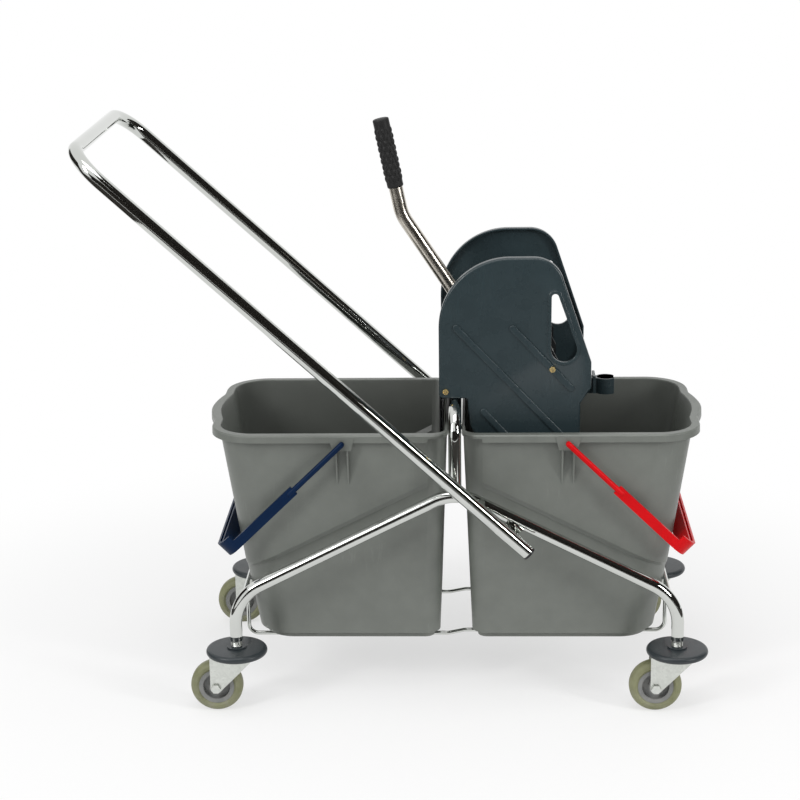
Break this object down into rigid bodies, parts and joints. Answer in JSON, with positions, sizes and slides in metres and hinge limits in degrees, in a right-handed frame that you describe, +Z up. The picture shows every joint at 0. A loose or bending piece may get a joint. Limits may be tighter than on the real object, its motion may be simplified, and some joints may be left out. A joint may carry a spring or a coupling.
{
  "type": "double mop bucket trolley",
  "caption": "Chrome tube trolley on swivel castors with lift-out mop buckets side by side, hinged bails, a lever mop press on the middle arch and a long push handle.",
  "frame": {"origin": "bottom centre of the trolley's box, on the floor", "axes": "+X along the trolley from the push handle to the press end, +Y across it away from the viewer, +Z up"},
  "size_m": [0.8748, 0.42, 0.828],
  "materials": {
    "chrome_tube": "polished chrome plate",
    "lever_steel": "bright nickel plate",
    "zinc_steel": "bright zinc plate",
    "bumper_plastic": "satin moulded",
    "core_plastic": "satin moulded",
    "tyre_rubber": "matt",
    "bucket_plastic": "satin moulded",
    "blue_plastic": "semi-gloss",
    "red_plastic": "semi-gloss",
    "press_plastic": "fine textured",
    "black_plastic": "satin moulded",
    "grip_rubber": "knobbly",
    "screw_brass": "bright"
  },
  "bodies": {
    "frame": {"side_frame_front": "chrome_tube", "side_frame_rear": "chrome_tube", "press_arch": "chrome_tube", "cradle_rod_front": "chrome_tube", "cradle_rod_rear": "chrome_tube", "end_rod_left": "chrome_tube", "end_rod_right": "chrome_tube", "push_handle": "chrome_tube", "handle_end_caps": "black_plastic", "handle_brackets": "chrome_tube", "handle_bolts": "zinc_steel", "castor_stems": "zinc_steel", "bumper_fl": "bumper_plastic", "bumper_fr": "bumper_plastic", "bumper_rl": "bumper_plastic", "bumper_rr": "bumper_plastic"},
    "castor_fl": {"castor_fork_fl": "zinc_steel", "castor_axle_fl": "zinc_steel"},
    "wheel_fl": {"wheel_core_fl": "core_plastic", "tyre_fl": "tyre_rubber"},
    "castor_fr": {"castor_fork_fr": "zinc_steel", "castor_axle_fr": "zinc_steel"},
    "wheel_fr": {"wheel_core_fr": "core_plastic", "tyre_fr": "tyre_rubber"},
    "castor_rl": {"castor_fork_rl": "zinc_steel", "castor_axle_rl": "zinc_steel"},
    "wheel_rl": {"wheel_core_rl": "core_plastic", "tyre_rl": "tyre_rubber"},
    "castor_rr": {"castor_fork_rr": "zinc_steel", "castor_axle_rr": "zinc_steel"},
    "wheel_rr": {"wheel_core_rr": "core_plastic", "tyre_rr": "tyre_rubber"},
    "bucket_left": {"bucket_left": "bucket_plastic"},
    "bail_left": {"bail_left": "blue_plastic"},
    "bucket_right": {"bucket_right": "bucket_plastic"},
    "bail_right": {"bail_right": "red_plastic"},
    "press": {"press_side_front": "press_plastic", "press_side_rear": "press_plastic", "press_front_wall": "press_plastic", "press_hook_apron": "black_plastic", "press_fixed_jaw": "black_plastic", "press_tie_rods": "zinc_steel", "press_screws": "screw_brass", "mop_clip": "press_plastic"},
    "lever": {"lever_tube": "lever_steel", "lever_grip": "grip_rubber", "lever_shaft": "zinc_steel", "lever_push_bar": "zinc_steel", "lever_spring": "zinc_steel"},
    "jaw": {"moving_jaw": "black_plastic", "jaw_hinge_rod": "zinc_steel"}
  },
  "joints": [
    {"name": "swivel_fl", "type": "hinge", "parent": "frame", "child": "castor_fl", "pos_m": [-0.23397, -0.165, 0.083], "axis": [0, 0, 1], "continuous": true},
    {"name": "wheel_spin_fl", "type": "hinge", "parent": "castor_fl", "child": "wheel_fl", "pos_m": [-0.26397, -0.165, 0.0375], "axis": [0, 1, 0], "continuous": true},
    {"name": "swivel_fr", "type": "hinge", "parent": "frame", "child": "castor_fr", "pos_m": [0.39403, -0.165, 0.083], "axis": [0, 0, 1], "continuous": true},
    {"name": "wheel_spin_fr", "type": "hinge", "parent": "castor_fr", "child": "wheel_fr", "pos_m": [0.36403, -0.165, 0.0375], "axis": [0, 1, 0], "continuous": true},
    {"name": "swivel_rl", "type": "hinge", "parent": "frame", "child": "castor_rl", "pos_m": [-0.23397, 0.165, 0.083], "axis": [0, 0, 1], "continuous": true},
    {"name": "wheel_spin_rl", "type": "hinge", "parent": "castor_rl", "child": "wheel_rl", "pos_m": [-0.26397, 0.165, 0.0375], "axis": [0, 1, 0], "continuous": true},
    {"name": "swivel_rr", "type": "hinge", "parent": "frame", "child": "castor_rr", "pos_m": [0.39403, 0.165, 0.083], "axis": [0, 0, 1], "continuous": true},
    {"name": "wheel_spin_rr", "type": "hinge", "parent": "castor_rr", "child": "wheel_rr", "pos_m": [0.36403, 0.165, 0.0375], "axis": [0, 1, 0], "continuous": true},
    {"name": "bucket_lift_left", "type": "slide", "parent": "frame", "child": "bucket_left", "axis": [0, 0, 1], "range_m": [0, 0.03]},
    {"name": "bail_swing_left", "type": "hinge", "parent": "bucket_left", "child": "bail_left", "pos_m": [-0.07797, 0, 0.3943], "axis": [0, 1, 0], "range_deg": [0, 128]},
    {"name": "bucket_lift_right", "type": "slide", "parent": "frame", "child": "bucket_right", "axis": [0, 0, 1], "range_m": [0, 0.03]},
    {"name": "bail_swing_right", "type": "hinge", "parent": "bucket_right", "child": "bail_right", "pos_m": [0.23803, 0, 0.3943], "axis": [0, -1, 0], "range_deg": [0, 110]},
    {"name": "press_lift", "type": "slide", "parent": "frame", "child": "press", "axis": [0, 0, 1], "range_m": [0, 0.25]},
    {"name": "lever_turn", "type": "hinge", "parent": "press", "child": "lever", "pos_m": [0.10003, 0, 0.5445], "axis": [0, -1, 0], "range_deg": [0, 36], "stiffness_Nm_per_rad": 2, "springref_deg": -28.65},
    {"name": "jaw_turn", "type": "hinge", "parent": "press", "child": "jaw", "pos_m": [0.15603, 0, 0.3943], "axis": [0, 1, 0], "range_deg": [0, 15.5]}
  ],
  "couplings": [
    {"joint": "jaw_turn", "follows": "lever_turn", "ratio": 0.42}
  ]
}
